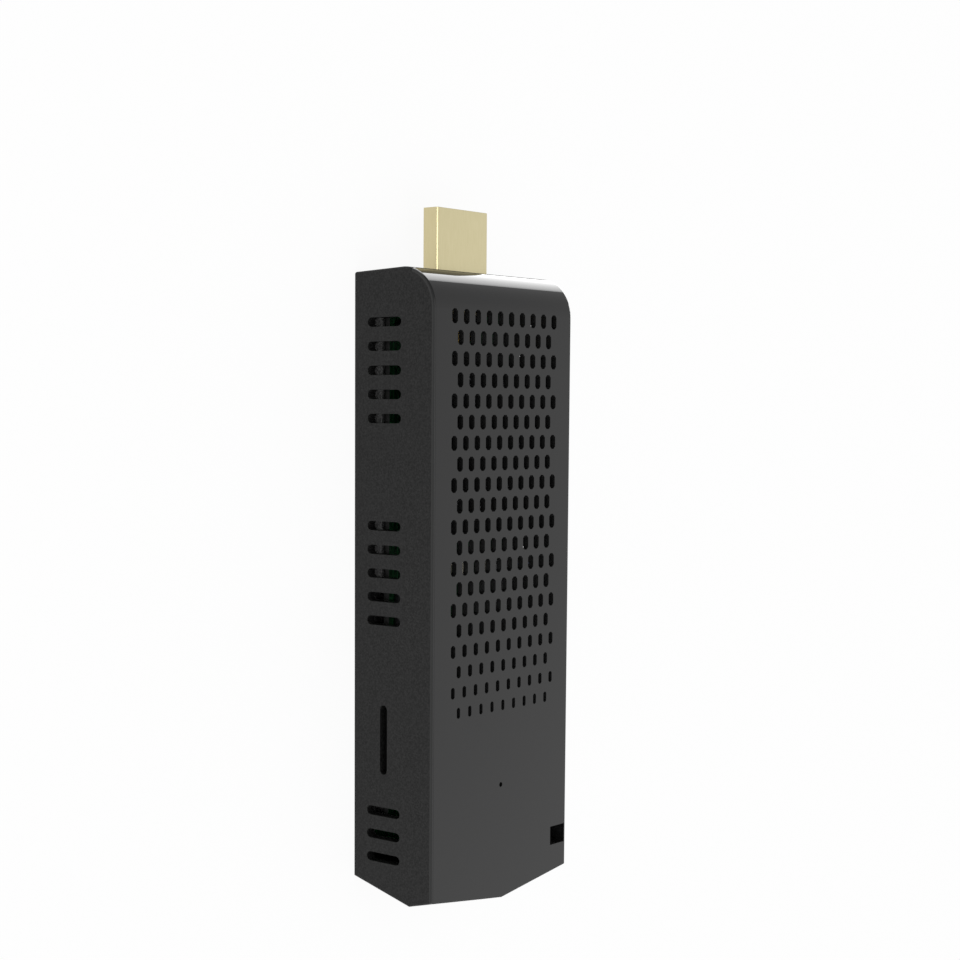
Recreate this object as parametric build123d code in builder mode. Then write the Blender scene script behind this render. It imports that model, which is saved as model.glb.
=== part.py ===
from build123d import *
import math
import os

# Stick computer lying on its back. +X runs to the plug, +Y to the card slot side, +Z out of
# the pierced front. The origin is under the middle of the whole length. Millimetres.
os.makedirs("parts", exist_ok=True)

# Case, outside
body_length = 111.0
body_width = 38.0
body_height = 18.0
top_round = 7.0
top_fall = 0.5
tip_drop = 2.6
ridge_height = 12.7
front_drop = 1.4
back_drop = 3.45
case_edge = 0.4

# Case, walls and seams
side_wall = 1.9
end_wall = 1.9
back_wall = 1.5
cover_wall = 1.0
cover_lip = 0.6
cover_clearance = 0.1
seam_gap = 0.1
seam_angle = 74.0
rim_wall = 1.0
rim_depth = 2.4
overrun = 2.0

# Snap hooks on the cover's rim
hook_length = 6.0
hook_reach = 0.5
hook_height = 0.9
hook_rise = 0.3
hook_place_shares = (0.18, 0.48, 0.76)

# Pierced field of the cover
column_count = 10
row_count = 20
column_pitch = 3.055
row_pitch = 3.53
first_row = 8.1
hole_width = 1.5
hole_length = 2.5
fading_rows = 6
hole_fade = 0.105
hole_corner_share = 0.29
pinhole_diameter = 0.85
pinhole_from_tip = 21.7
pinhole_offset = 0.4

# Strap hole in the cover's corner
strap_hole_length = 3.4
strap_hole_width = 4.2
strap_from_tip = 9.9
strap_post = 0.5
strap_post_depth = 4.4
strap_pocket_depth = 9.4
strap_pocket_wall = 1.0

# Side vents and card slot
vent_width = 1.6
vent_length = 7.55
vent_pitch = 4.05
vent_floor = 3.16
vent_end_sides = 5
vent_counts = (5, 5, 3)
vent_start_shares = (0.08153, 0.39144, 0.83559)
card_slot_length = 12.1
card_slot_height = 1.6
card_slot_from_top = 80.2

# Plug
plug_width = 13.9
plug_height = 4.45
plug_flank = 3.1
plug_foot = 10.8
plug_corner = 0.5
plug_rise = 3.8
plug_reach = 11.0
plug_tail = 7.0
plug_wall = 0.4
plug_opening_clearance = 0.2
plug_ear_width = 2.4
plug_ear_length = 4.0
insert_recess = 1.0
insert_gap = 0.02
insert_slot_width = 11.4
insert_slot_height = 2.0
insert_slot_depth = 8.0
contact_count = 10
contact_pitch = 1.0
contact_width = 0.4
contact_thickness = 0.2
contact_length = 6.0
contact_foot = 1.0

# Board and screws, small round pieces drawn with a few straight sides
small_round_sides = 12
tube_sides = 8
board_thickness = 1.2
board_rise = 4.8
board_end_gap = 0.6
board_side_gap = 0.5
board_tip_room = 16.0
board_notch_length = 9.0
board_notch_clearance = 0.35
ledge_width = 1.3
ledge_end_from_top = 53.0
boss_radius = 2.4
screw_radius = 0.8
screw_clearance = 0.05
screw_length = 4.0
screw_head_radius = 1.6
screw_head_height = 0.9
board_screw_inset = 7.5
board_screw_tail = 3.5
board_screw_edge = 2.6
board_screw_step = 22.6

# Cooling
fan_side_room = 2.1
fan_depth = 5.0
fan_headroom = 1.0
fan_from_top = 30.0
fan_corner = 2.5
fan_screw_inset = 3.0
fan_duct_rim = 0.7
fan_floor = 0.9
fan_hub_radius = 6.8
fan_strut_width = 1.6
fan_strut_count = 4
bearing_wall = 0.6
shaft_radius = 0.5
shaft_clearance = 0.03
bearing_length = 2.7
tube_wall = 0.5
stator_radius = 4.6
stator_height = 1.6
stator_arms = 4
stator_arm_width = 1.8
stator_gap = 0.5
rotor_gap = 0.4
rotor_wall = 0.6
magnet_wall = 0.7
magnet_height = 2.0
blade_count = 7
blade_tip_gap = 0.5
blade_thickness = 0.6
blade_angle = 50.0
fan_screw_head_height = 0.8
sink_base = 1.2
sink_fin_count = 9
sink_fin_thickness = 0.8
sink_post_radius = 2.0
sink_screw_length = 2.6
fan_screw_length = 7.0
pad_size = 15.0
pad_thickness = 0.5

# Chips
processor_size = 17.0
processor_height = 1.1
chip_gap = 0.8
memory_length = 8.0
memory_width = 9.0
memory_height = 1.0
memory_offset = 5.2
storage_length = 11.5
storage_width = 13.0
storage_height = 1.0
storage_from_top = 59.0
storage_edge = 1.6
controller_size = 7.0
controller_height = 0.9
controller_from_top = 69.0
controller_edge = 2.6
inductor_size = 4.0
inductor_height = 2.0
inductor_edge = 0.25
inductor_spacing = 4.8
inductor_from_top = 67.5
inductor_gap = 1.2
capacitor_length = 2.0
capacitor_width = 1.2
capacitor_height = 1.1
capacitor_spacing = 2.4
capacitor_count = 5
capacitor_from_top = 76.0
capacitor_gap = 1.0
crystal_length = 3.2
crystal_width = 2.5
crystal_height = 0.8
crystal_from_top = 83.0
crystal_gap = 2.3
radio_length = 12.0
radio_width = 15.0
radio_height = 1.6
radio_edge = 0.2
radio_from_top = 75.0
radio_offset = 5.0

# Fan lead
lead_radius = 0.45
lead_rise = 2.5
lead_offset = -0.6
lead_arc_share = 0.45
connector_length = 3.0
connector_width = 3.4
connector_height = 2.2
connector_from_top = 52.0

# Aerial
aerial_length = 4.0
aerial_width = 24.0
aerial_thickness = 0.6
aerial_from_tip = 12.0
aerial_offset = 4.0
aerial_lead_radius = 0.45
aerial_lead_sway = 2.5

# Sockets on the side opposite the card slot
port_recess = 0.4
port_clearance = 0.25
usb_width = 13.1
usb_height = 5.7
usb_depth = 14.0
usb_wall = 0.3
usb_tongue_width = 10.8
usb_tongue_thickness = 1.8
usb_tongue_gap = 0.7
usb_tongue_recess = 1.0
usb_block_depth = 4.0
usb_contact_count = 4
usb_contact_pitch = 2.5
usb_contact_width = 1.0
usb_contact_thickness = 0.2
usb3_extra_count = 5
usb3_extra_pitch = 2.0
usb3_extra_length = 2.2
usb3_from_top = 55.5
usb2_from_top = 70.5
power_port_width = 7.5
power_port_height = 2.5
power_port_depth = 5.2
power_port_wall = 0.25
power_port_bevel = 0.9
power_port_from_top = 83.0
power_tongue_width = 3.8
power_tongue_thickness = 0.5
power_block_depth = 1.4

# Card socket
socket_width = 14.0
socket_depth = 14.6
socket_height = 1.9
socket_wall = 0.2
socket_base_thickness = 0.5
socket_card_width = 11.2
socket_gap = 0.3
socket_contact_count = 8
socket_contact_pitch = 1.1
socket_contact_width = 0.6
socket_contact_length = 6.0
socket_contact_thickness = 0.15

# Power button
button_from_top = 91.0
button_length = 5.0
button_height = 2.0
button_clearance = 0.3
button_travel = 0.3
button_edge = 0.2
button_flange = 1.2
button_flange_thickness = 0.7
button_flange_gap = 0.3
switch_length = 6.0
switch_depth = 3.2
switch_height = 3.0
plunger_length = 2.4
plunger_height = 1.2
plunger_reach = 0.9
plunger_entry = 0.5

# Status lamp
led_length = 1.6
led_width = 1.2
led_height = 0.7
pipe_radius = 0.9
pipe_clearance = 0.05
pipe_collar = 0.9
pipe_collar_depth = 2.0

# Shared levels and places
half_width = body_width / 2
x_top = (body_length + plug_reach) / 2 - plug_reach
x_tip = x_top - body_length
x_plug = x_top + plug_reach
round_x = x_top - top_round
round_z = body_height - top_round
inner_half = half_width - side_wall
cover_inside = body_height - cover_wall
board_top = board_rise + board_thickness
board_front = x_top - end_wall - board_end_gap
board_tail = x_tip + board_tip_room
board_length = board_front - board_tail
board_half = inner_half - board_side_gap
fan_size = 2 * (inner_half - fan_side_room)
fan_screw_spacing = fan_size - 2 * fan_screw_inset
fan_duct_radius = fan_size / 2 - fan_duct_rim
fan_x = x_top - fan_from_top
pad_level = board_top + processor_height
sink_level = pad_level + pad_thickness
sink_fins_level = sink_level + sink_base
fan_top = cover_inside - fan_headroom
fan_level = fan_top - fan_depth
fan_head_level = fan_top - fan_screw_head_height
screw_bore = screw_radius + screw_clearance
lead_level = fan_level + lead_rise
port_face = -half_width + port_recess
socket_rear = port_face + usb_depth
inductor_offset = socket_rear + inductor_gap + inductor_size / 2
capacitor_offset = socket_rear + capacitor_gap + capacitor_length / 2
crystal_offset = capacitor_offset - (capacitor_length + crystal_length) / 2 - crystal_gap
controller_offset = board_half - controller_edge - controller_size / 2
storage_offset = board_half - storage_edge - storage_width / 2
plug_floor = plug_rise
plug_roof = plug_rise + plug_height
plug_middle = plug_rise + plug_height / 2
button_level = board_top + switch_height / 2
strap_x = x_tip + strap_from_tip
strap_y = -(half_width - strap_post - strap_hole_width / 2)
pinhole_x = x_tip + pinhole_from_tip


def block(x, y, level, length, width, height, mode=Mode.ADD):
    """A block centred on x and y that stands on level."""
    with Locations((x, y, level + height / 2)):
        Box(length, width, height, mode=mode)


def post(x, y, level, radius, height, mode=Mode.ADD):
    """A round post centred on x and y that stands on level."""
    with Locations((x, y, level + height / 2)):
        Cylinder(radius, height, mode=mode)


def peg(x, y, level, radius, height, mode=Mode.ADD):
    """A small round post or bore that stands on level, drawn with a few straight sides."""
    with BuildSketch(Plane.XY.offset(level)) as section:
        with Locations((x, y)):
            RegularPolygon(radius, small_round_sides)
    extrude(section.sketch, amount=height, mode=mode)


def round_point(radius, angle):
    """A point of the top round, by its angle from straight out of the front."""
    turn = math.radians(angle)
    return (round_x + radius * math.sin(turn), round_z + radius * math.cos(turn))


def end_planes(inset):
    """The four faces of the pointed end, set in by inset, each facing into the body."""
    tip = Vector(x_tip, 0, ridge_height)
    planes = []
    for side in (-1, 1):
        across = Vector(tip_drop, side * half_width, 0)
        for drop, level in ((front_drop, body_height), (back_drop, 0)):
            inward = across.cross(Vector(drop, 0, level - ridge_height)).normalized()
            if inward.X < 0:
                inward = inward * -1
            planes.append(Plane(origin=tip + inward * inset, z_dir=inward))
    return planes


def case_form(inset, floor):
    """The outer form of the whole case, drawn in by inset at the sides and both ends."""
    with BuildPart() as form:
        with BuildSketch(Plane.XZ):
            with BuildLine():
                far = x_tip - overrun
                crest = round_point(top_round - inset, 90)
                shoulder = round_point(top_round - inset, 0)
                middle = round_point(top_round - inset, 45)
                foot = crest[0] - top_fall * (round_z - floor) / round_z
                Polyline((crest[0], crest[1]), (foot, floor), (far, floor), (far, shoulder[1]), shoulder)
                ThreePointArc(shoulder, middle, crest)
            make_face()
        extrude(amount=half_width - inset, both=True)
        for plane in end_planes(inset):
            split(bisect_by=plane, keep=Keep.TOP)
    return form.part


def front_region(depth, angle, reach):
    """All that lies in front of the face set back by depth, as far round the top as angle."""
    with BuildPart() as region:
        with BuildSketch(Plane.XZ):
            with BuildLine():
                start = round_point(top_round - depth, angle)
                middle = round_point(top_round - depth, angle / 2)
                shoulder = round_point(top_round - depth, 0)
                beyond = round_point(top_round + overrun, angle)
                far = x_tip - overrun
                above = body_height + overrun
                ThreePointArc(start, middle, shoulder)
                Polyline(shoulder, (far, shoulder[1]), (far, above), (x_top + overrun, above), beyond, start)
            make_face()
        extrude(amount=reach, both=True)
    return region.part


def plug_outline(grow, mode=Mode.ADD):
    """The plug's section: a wide face to the front, upright flanks and a narrower bevelled foot."""
    half = plug_width / 2 + grow
    foot = plug_foot / 2 + grow
    roof = plug_roof + grow
    flank = plug_roof - plug_flank
    floor = plug_floor - grow
    points = [(-foot, floor), (foot, floor), (half, flank), (half, roof), (-half, roof), (-half, flank)]
    Polygon(*points, mode=mode)


def long_hole(width, length, sides, rotation=0):
    """A hole with round ends, drawn with a few straight sides at each end."""
    reach = (length - width) / 2
    points = []
    for end in (1, -1):
        for step in range(sides + 1):
            turn = math.pi * (step / sides - 0.5)
            points.append((end * (reach + width / 2 * math.cos(turn)), end * width / 2 * math.sin(turn)))
    Polygon(*points, rotation=rotation)


def pierced_hole(width, length):
    """One hole of the pierced field, long along X, its corners cut across."""
    corner = width * hole_corner_share
    half = width / 2
    reach = length / 2
    points = [(reach, corner - half), (reach, half - corner), (reach - corner, half), (corner - reach, half)]
    Polygon(*points, *[(-x, -y) for x, y in points])


def pierced_rows():
    """The holes' places, as many lists as there are sizes: the last rows fade."""
    rows = {}
    for row in range(row_count):
        shrink = hole_fade * max(0, row + 1 + fading_rows - row_count)
        columns = column_count - row % 2
        for column in range(columns):
            place = (x_top - first_row - row * row_pitch, (column - (columns - 1) / 2) * column_pitch)
            rows.setdefault(shrink, []).append(place)
    return rows.items()


def hook_places():
    """Where the cover's snap hooks stand along its length, on both sides."""
    places = []
    for share in hook_place_shares:
        for side in (-1, 1):
            places.append((x_top - body_length * share, side))
    return places


def board_screw_places():
    """The four screws that hold the board to the housing's bosses."""
    front = board_front - board_screw_inset
    tail = board_tail + board_screw_tail
    side = board_half - board_screw_edge
    return [
        (front, side),
        (front, -side),
        (tail, side),
        (tail, board_half - board_screw_step),
    ]


def fan_corners():
    """The four corners shared by the fan's screws, the sink's posts and the board's holes."""
    half = fan_screw_spacing / 2
    return [(fan_x + half * i, half * j) for i in (-1, 1) for j in (-1, 1)]


def vent_places(group):
    """The middles along X of one group's side vents."""
    start = x_top - body_length * vent_start_shares[group]
    return [start - vent_pitch * step for step in range(vent_counts[group])]


def cut_to_point(form, inset):
    """A form cut by the four faces of the pointed end, set in by inset."""
    with BuildPart() as pointed:
        add(form)
        for plane in end_planes(inset):
            split(bisect_by=plane, keep=Keep.TOP)
    return pointed.part


def rim_block(length, inset, height):
    """A straight block under the cover that follows the side walls and the pointed end."""
    with BuildPart() as solid_rim:
        with Locations(((round_x + x_tip) / 2, 0, cover_inside - rim_depth / 2)):
            Box(length, body_width - 2 * inset, height)
    return cut_to_point(solid_rim.part, inset)


def cover_rim():
    """The rim that stands behind the cover's long edges and its pointed end."""
    with BuildPart() as rim:
        add(rim_block(round_x - x_tip, plate_inset, rim_depth))
        add(rim_block(body_length, plate_inset + rim_wall, rim_depth + overrun), mode=Mode.SUBTRACT)
    return rim.part


def cover_plate():
    """The thicker plate inside the walls that carries the pierced field."""
    with BuildPart() as plate:
        add(case_form(cover_clearance, 0))
        add(front_region(cover_wall, seam_angle - 2 * seam_turn, inner_half - cover_clearance), mode=Mode.INTERSECT)
    return cut_to_point(plate.part, plate_inset)


plate_inset = side_wall + cover_clearance
seam_turn = math.degrees(seam_gap / top_round)

# The whole case's outside, its long corners softened
with BuildPart() as case_skin:
    add(case_form(0, 0))
    corners = [e for e in case_skin.edges() if all(abs(abs(v.Y) - half_width) < case_edge for v in e.vertices())]
    fillet(corners, case_edge)

# Rear housing: a tub with its ledges, bosses, vents, sockets' openings and strap pocket
with BuildPart() as rear_housing:
    add(case_skin.part)
    add(case_form(side_wall, back_wall), mode=Mode.SUBTRACT)
    mouth = cut_to_point(front_region(top_round - overrun, seam_angle, inner_half), side_wall)
    add(mouth, mode=Mode.SUBTRACT)
    add(front_region(cover_lip, seam_angle, half_width + overrun), mode=Mode.SUBTRACT)
    # ledges that carry the board's long edges
    ledge_length = ledge_end_from_top - end_wall
    for side in (-1, 1):
        block(
            x_top - end_wall - ledge_length / 2,
            side * (inner_half - ledge_width / 2),
            back_wall,
            ledge_length,
            ledge_width,
            board_rise - back_wall,
        )
    for x, y in board_screw_places():
        peg(x, y, back_wall, boss_radius, board_rise - back_wall)
    for x, y in board_screw_places():
        peg(x, y, back_wall, screw_bore, board_rise - back_wall, Mode.SUBTRACT)
    # pocket behind the strap hole
    pocket_floor = body_height - strap_pocket_depth
    pocket_length = strap_hole_length + 2 * strap_pocket_wall
    pocket_width = strap_hole_width + strap_post + strap_pocket_wall
    block(
        strap_x,
        -half_width + case_edge + (pocket_width - case_edge) / 2,
        pocket_floor - strap_pocket_wall,
        pocket_length,
        pocket_width - case_edge,
        cover_inside - pocket_floor + strap_pocket_wall,
    )
    block(strap_x, strap_y, pocket_floor, strap_hole_length, strap_hole_width, body_height, Mode.SUBTRACT)
    block(
        strap_x,
        -half_width,
        pocket_floor,
        strap_hole_length,
        side_wall,
        strap_pocket_depth - strap_post_depth,
        Mode.SUBTRACT,
    )
    # side vents
    with BuildSketch(Plane.XZ.offset(-inner_half)):
        vents = [x for group in range(len(vent_counts)) for x in vent_places(group)]
        with Locations(*[(x, vent_floor + vent_length / 2) for x in vents]):
            long_hole(vent_width, vent_length, vent_end_sides, 90)
        with Locations((x_top - card_slot_from_top, board_top + socket_height / 2)):
            long_hole(card_slot_height, card_slot_length, vent_end_sides)
    extrude(amount=-side_wall - overrun, mode=Mode.SUBTRACT)
    with BuildSketch(Plane.XZ.offset(inner_half)):
        with Locations(*[(x, vent_floor + vent_length / 2) for x in vent_places(0)]):
            long_hole(vent_width, vent_length, vent_end_sides, 90)
        for from_top in (usb3_from_top, usb2_from_top):
            with Locations((x_top - from_top, board_top + usb_height / 2)):
                Rectangle(usb_width + 2 * port_clearance, usb_height + 2 * port_clearance)
        with Locations((x_top - power_port_from_top, board_top + power_port_height / 2)):
            Rectangle(power_port_width + 2 * port_clearance, power_port_height + 2 * port_clearance)
        with Locations((x_top - button_from_top, button_level)):
            long_hole(button_height + 2 * button_clearance, button_length + 2 * button_clearance, vent_end_sides)
    extrude(amount=side_wall + overrun, mode=Mode.SUBTRACT)
    with BuildSketch(Plane.YZ.offset(x_top - end_wall - overrun)):
        plug_outline(plug_opening_clearance)
    extrude(amount=end_wall + 2 * overrun, mode=Mode.SUBTRACT)
    # grooves for the cover's snap hooks
    for x, side in hook_places():
        block(
            x,
            side * inner_half,
            cover_inside - rim_depth + hook_rise - cover_clearance,
            hook_length + 2 * cover_clearance,
            2 * (hook_reach + cover_clearance),
            hook_height + 2 * cover_clearance,
            Mode.SUBTRACT,
        )
rear_housing.part.label = "rear_housing"
export_step(rear_housing.part, "parts/rear_housing.step")

# Front cover: a thin lip over the whole face, a thicker pierced plate inside it and a snap rim
with BuildPart() as front_cover:
    add(case_skin.part)
    add(front_region(cover_lip, seam_angle - seam_turn, half_width + overrun), mode=Mode.INTERSECT)
    add(cover_plate())
    add(cover_rim())
    for x, side in hook_places():
        block(
            x,
            side * (inner_half + hook_reach / 2 - cover_clearance),
            cover_inside - rim_depth + hook_rise,
            hook_length,
            hook_reach,
            hook_height,
        )
    # collar round the light pipe, and room in the rim for the housing's strap pocket
    collar_floor = cover_inside - pipe_collar_depth
    collar_bore = pipe_radius + pipe_clearance
    post(pinhole_x, pinhole_offset, collar_floor, pipe_radius + pipe_collar, pipe_collar_depth)
    post(pinhole_x, pinhole_offset, collar_floor, collar_bore, pipe_collar_depth, Mode.SUBTRACT)
    block(
        strap_x,
        -half_width + pocket_width / 2,
        cover_inside - rim_depth,
        pocket_length + 2 * cover_clearance,
        pocket_width + 2 * cover_clearance,
        rim_depth,
        Mode.SUBTRACT,
    )
    with BuildSketch(Plane.XY.offset(cover_inside - overrun)):
        with Locations((strap_x, strap_y)):
            Rectangle(strap_hole_length, strap_hole_width)
        with Locations((pinhole_x, pinhole_offset)):
            Circle(pinhole_diameter / 2)
        for shrink, places in pierced_rows():
            with Locations(*places):
                pierced_hole(hole_width - shrink, hole_length - shrink)
    extrude(amount=cover_wall + 2 * overrun, mode=Mode.SUBTRACT)
front_cover.part.label = "front_cover"
export_step(front_cover.part, "parts/front_cover.step")

# Plug: a gold plated shell, the moulded insert inside it and the contacts
with BuildPart() as hdmi_plug_shell:
    with BuildSketch(Plane.YZ.offset(x_top - plug_tail)) as plug_face:
        plug_outline(0)
        fillet(plug_face.vertices(), plug_corner)
    extrude(amount=plug_tail + plug_reach)
    with BuildSketch(Plane.YZ.offset(x_top - plug_tail)):
        plug_outline(-plug_wall)
    extrude(amount=plug_tail + plug_reach, mode=Mode.SUBTRACT)
    for side in (-1, 1):
        block(
            x_top - plug_tail + plug_ear_length / 2,
            side * (plug_width / 2 + plug_ear_width / 2 - plug_wall / 2),
            board_top,
            plug_ear_length,
            plug_ear_width + plug_wall / 2,
            plug_wall,
        )
hdmi_plug_shell.part.label = "hdmi_plug_shell"
export_step(hdmi_plug_shell.part, "parts/hdmi_plug_shell.step")

with BuildPart() as hdmi_plug_insert:
    insert_front = x_plug - insert_recess
    insert_length = plug_tail + plug_reach - insert_recess
    with BuildSketch(Plane.YZ.offset(x_top - plug_tail)):
        plug_outline(-plug_wall - insert_gap)
    extrude(amount=insert_length)
    block(
        insert_front - insert_slot_depth / 2,
        0,
        plug_middle - insert_slot_height / 2,
        insert_slot_depth,
        insert_slot_width,
        insert_slot_height,
        Mode.SUBTRACT,
    )
hdmi_plug_insert.part.label = "hdmi_plug_insert"
export_step(hdmi_plug_insert.part, "parts/hdmi_plug_insert.step")

with BuildPart() as hdmi_contacts:
    for row, count in enumerate((contact_count, contact_count - 1)):
        level = plug_middle - insert_slot_height / 2 if row else plug_middle + insert_slot_height / 2 - contact_thickness
        for step in range(count):
            y = (step - (count - 1) / 2) * contact_pitch
            start = insert_front - insert_slot_depth + contact_length / 2
            block(start, y, level, contact_length, contact_width, contact_thickness)
    tail_start = x_top - plug_tail
    tail_end = board_front - board_notch_length - contact_foot
    for step in range(contact_count):
        y = (step - (contact_count - 1) / 2) * contact_pitch
        block((tail_start + tail_end) / 2, y, board_top, tail_start - tail_end, contact_width, contact_thickness)
hdmi_contacts.part.label = "hdmi_contacts"
export_step(hdmi_contacts.part, "parts/hdmi_contacts.step")

# Board and its screws
with BuildPart() as main_board:
    block(
        board_front - board_length / 2,
        0,
        board_rise,
        board_length,
        2 * board_half,
        board_thickness,
    )
    notch_width = plug_width + 2 * board_notch_clearance
    block(
        board_front - board_notch_length / 2,
        0,
        board_rise,
        board_notch_length,
        notch_width,
        board_thickness,
        Mode.SUBTRACT,
    )
    for x, y in board_screw_places():
        peg(x, y, board_rise, screw_bore, board_thickness, Mode.SUBTRACT)
    for x, y in fan_corners():
        peg(x, y, board_rise, screw_bore, board_thickness, Mode.SUBTRACT)
main_board.part.label = "main_board"
export_step(main_board.part, "parts/main_board.step")

with BuildPart() as board_screws:
    for x, y in board_screw_places():
        peg(x, y, board_top, screw_head_radius, screw_head_height)
        peg(x, y, board_top - screw_length, screw_radius, screw_length)
board_screws.part.label = "board_screws"
export_step(board_screws.part, "parts/board_screws.step")

# Chips on the board
with BuildPart() as processor:
    block(fan_x, 0, board_top, processor_size, processor_size, processor_height / 2)
    block(
        fan_x,
        0,
        board_top + processor_height / 2,
        processor_size - processor_height,
        processor_size - processor_height,
        processor_height / 2,
    )
processor.part.label = "processor"
export_step(processor.part, "parts/processor.step")

with BuildPart() as memory_chips:
    memory_reach = processor_size / 2 + chip_gap + memory_length / 2
    for along in (-1, 1):
        for side in (-1, 1):
            x = fan_x + along * memory_reach
            block(x, side * memory_offset, board_top, memory_length, memory_width, memory_height)
memory_chips.part.label = "memory_chips"
export_step(memory_chips.part, "parts/memory_chips.step")

with BuildPart() as storage_chip:
    x = x_top - storage_from_top
    block(x, storage_offset, board_top, storage_length, storage_width, storage_height)
storage_chip.part.label = "storage_chip"
export_step(storage_chip.part, "parts/storage_chip.step")

with BuildPart() as power_controller:
    x = x_top - controller_from_top
    block(x, controller_offset, board_top, controller_size, controller_size, controller_height)
power_controller.part.label = "power_controller"
export_step(power_controller.part, "parts/power_controller.step")

with BuildPart() as power_inductors:
    x = x_top - inductor_from_top
    for step in (0, 1):
        block(x, inductor_offset + step * inductor_spacing, board_top, inductor_size, inductor_size, inductor_height)
    chamfer(power_inductors.edges().group_by(Axis.Z)[-1], inductor_edge)
power_inductors.part.label = "power_inductors"
export_step(power_inductors.part, "parts/power_inductors.step")

with BuildPart() as board_capacitors:
    for step in range(capacitor_count):
        x = x_top - capacitor_from_top - step * capacitor_spacing
        block(x, capacitor_offset, board_top, capacitor_width, capacitor_length, capacitor_height)
board_capacitors.part.label = "board_capacitors"
export_step(board_capacitors.part, "parts/board_capacitors.step")

with BuildPart() as clock_crystal:
    x = x_top - crystal_from_top
    block(x, crystal_offset, board_top, crystal_width, crystal_length, crystal_height)
clock_crystal.part.label = "clock_crystal"
export_step(clock_crystal.part, "parts/clock_crystal.step")

with BuildPart() as radio_module:
    x = x_top - radio_from_top
    block(x, radio_offset, board_rise - radio_height, radio_length, radio_width, radio_height)
    chamfer(radio_module.edges().group_by(Axis.Z)[0], radio_edge)
radio_module.part.label = "radio_module"
export_step(radio_module.part, "parts/radio_module.step")

# Heat sink, seated on the pad and on four posts that stand on the board
with BuildPart() as thermal_pad:
    block(fan_x, 0, pad_level, pad_size, pad_size, pad_thickness)
thermal_pad.part.label = "thermal_pad"
export_step(thermal_pad.part, "parts/thermal_pad.step")

with BuildPart() as heat_sink:
    block(fan_x, 0, sink_level, fan_size, fan_size, sink_base)
    fin_pitch = (fan_size - sink_fin_thickness) / (sink_fin_count - 1)
    for step in range(sink_fin_count):
        x = fan_x + (step - (sink_fin_count - 1) / 2) * fin_pitch
        block(x, 0, sink_level, sink_fin_thickness, fan_size, fan_level - sink_level)
    for x, y in fan_corners():
        peg(x, y, board_top, sink_post_radius, fan_level - board_top)
    for x, y in fan_corners():
        peg(x, y, board_top, screw_bore, fan_level - board_top, Mode.SUBTRACT)
heat_sink.part.label = "heat_sink"
export_step(heat_sink.part, "parts/heat_sink.step")

with BuildPart() as sink_screws:
    for x, y in fan_corners():
        peg(x, y, board_rise - screw_head_height, screw_head_radius, screw_head_height)
        peg(x, y, board_rise, screw_radius, sink_screw_length)
sink_screws.part.label = "sink_screws"
export_step(sink_screws.part, "parts/sink_screws.step")

# Fan: a square frame with its duct, a floor on struts, and a tube for the bearing
with BuildPart() as fan_frame:
    with BuildSketch(Plane.XY.offset(fan_level)):
        with Locations((fan_x, 0)):
            RectangleRounded(fan_size, fan_size, fan_corner)
    extrude(amount=fan_depth)
    post(fan_x, 0, fan_level, fan_duct_radius, fan_depth, Mode.SUBTRACT)
    post(fan_x, 0, fan_level, fan_hub_radius, fan_floor)
    with BuildSketch(Plane.XY.offset(fan_level)):
        with Locations((fan_x, 0)):
            for step in range(fan_strut_count // 2):
                Rectangle(2 * fan_duct_radius + tube_wall, fan_strut_width, rotation=45 + 90 * step)
    extrude(amount=fan_floor)
    bearing_radius = shaft_radius + shaft_clearance + bearing_wall
    tube_radius = bearing_radius + tube_wall
    post(fan_x, 0, fan_level, tube_radius, fan_floor + bearing_length)
    post(fan_x, 0, fan_level + fan_floor, bearing_radius, bearing_length, Mode.SUBTRACT)
    for x, y in fan_corners():
        peg(x, y, fan_level, screw_bore, fan_depth, Mode.SUBTRACT)
        peg(x, y, fan_head_level, screw_head_radius + screw_clearance, fan_screw_head_height, Mode.SUBTRACT)
fan_frame.part.label = "fan_frame"
export_step(fan_frame.part, "parts/fan_frame.step")

with BuildPart() as fan_screws:
    for x, y in fan_corners():
        peg(x, y, fan_head_level, screw_head_radius, fan_screw_head_height)
        peg(x, y, fan_head_level - fan_screw_length, screw_radius, fan_screw_length)
fan_screws.part.label = "fan_screws"
export_step(fan_screws.part, "parts/fan_screws.step")

with BuildPart() as fan_bearing:
    post(fan_x, 0, fan_level + fan_floor, bearing_radius, bearing_length)
    post(fan_x, 0, fan_level + fan_floor, shaft_radius + shaft_clearance, bearing_length, Mode.SUBTRACT)
fan_bearing.part.label = "fan_bearing"
export_step(fan_bearing.part, "parts/fan_bearing.step")

with BuildPart() as fan_stator:
    post(fan_x, 0, fan_level + fan_floor, tube_radius + tube_wall, stator_height)
    with BuildSketch(Plane.XY.offset(fan_level + fan_floor)):
        with Locations((fan_x, 0)):
            Circle(stator_radius)
            Circle(stator_radius - stator_arm_width / 2, mode=Mode.SUBTRACT)
            for step in range(stator_arms // 2):
                Rectangle(2 * stator_radius - stator_gap, stator_arm_width, rotation=90 * step)
            for step in range(stator_arms // 2):
                Rectangle(3 * stator_radius, stator_gap, rotation=45 + 90 * step, mode=Mode.SUBTRACT)
    extrude(amount=stator_height)
    post(fan_x, 0, fan_level + fan_floor, tube_radius + tube_wall, stator_height)
    post(fan_x, 0, fan_level + fan_floor, tube_radius, stator_height, Mode.SUBTRACT)
fan_stator.part.label = "fan_stator"
export_step(fan_stator.part, "parts/fan_stator.step")

# Rotor: a cup over the stator with pitched blades, its magnet ring and its shaft
rotor_floor = fan_level + fan_floor + rotor_gap
rotor_top = fan_top - rotor_gap
rotor_reach = fan_duct_radius - blade_tip_gap
blade_height = rotor_top - rotor_floor - blade_thickness

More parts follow.
